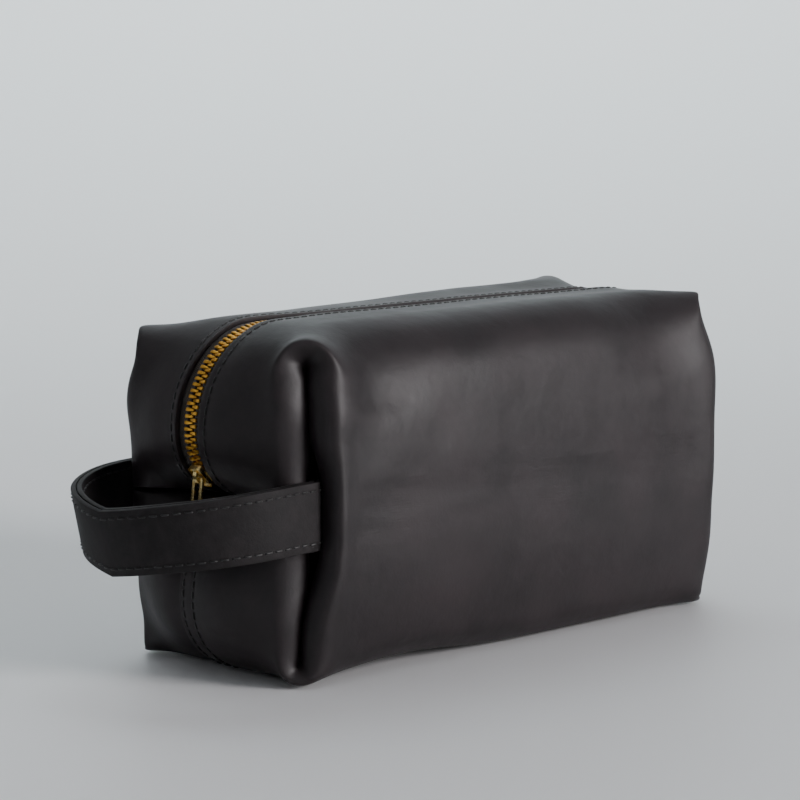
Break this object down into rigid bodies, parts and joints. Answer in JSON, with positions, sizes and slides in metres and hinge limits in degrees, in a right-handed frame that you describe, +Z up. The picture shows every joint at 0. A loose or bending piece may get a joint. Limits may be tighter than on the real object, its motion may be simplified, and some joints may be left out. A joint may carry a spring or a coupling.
{
  "type": "shaving kit bag",
  "caption": "Boxed leather shaving kit bag: rounded box body with turned-in corner seams, a brass zip over the top and down the ends, and a side strap handle sewn into two corner seams.",
  "frame": {"origin": "middle of the base, on the surface the bag stands on", "axes": "+X along the bag away from the handle, +Y from the front face to the back face, +Z up"},
  "size_m": [0.3006, 0.1106, 0.1327],
  "materials": {
    "body_leather": "smooth black pull-up leather with a soft satin sheen",
    "strap_leather": "black strap leather, matt, with raw cut edges",
    "zip_tape": "black woven tape",
    "teeth_brass": "polished golden brass",
    "slider_brass": "pale cast brass",
    "thread": "black waxed thread"
  },
  "bodies": {
    "bag": {"front_panel": "body_leather", "back_panel": "body_leather", "zip_tape_front": "zip_tape", "zip_tape_back": "zip_tape", "zip_teeth_front": "teeth_brass", "zip_teeth_back": "teeth_brass", "zip_top_stop_front": "teeth_brass", "zip_top_stop_back": "teeth_brass", "zip_bottom_stop": "teeth_brass", "handle_outer_end_front": "strap_leather", "handle_inner_end_front": "strap_leather", "handle_outer_end_back": "strap_leather", "handle_inner_end_back": "strap_leather", "zip_thread_front": "thread", "zip_thread_back": "thread", "bottom_thread_front": "thread", "bottom_thread_back": "thread"},
    "slider": {"zip_slider": "slider_brass"},
    "pull": {"zip_pull": "slider_brass"},
    "handle": {"handle_outer_layer": "strap_leather", "handle_inner_layer": "strap_leather", "handle_thread_upper": "thread", "handle_thread_lower": "thread"}
  },
  "joints": [
    {"name": "slider_run", "type": "hinge", "parent": "bag", "child": "slider", "pos_m": [-0.10397, 0, 0.0915], "axis": [0, 1, 0], "range_deg": [0, 36], "deforming": ["zip_teeth_front", "zip_teeth_back"]},
    {"name": "pull_swing", "type": "hinge", "parent": "slider", "child": "pull", "pos_m": [-0.12318, 0, 0.07416], "axis": [0, 1, 0], "range_deg": [0, 85]},
    {"name": "handle_swing", "type": "hinge", "parent": "bag", "child": "handle", "pos_m": [-0.1144, 0, 0.0635], "axis": [0, 1, 0], "range_deg": [-25, 35], "deforming": ["handle_outer_end_front", "handle_inner_end_front", "handle_outer_end_back", "handle_inner_end_back"]}
  ]
}
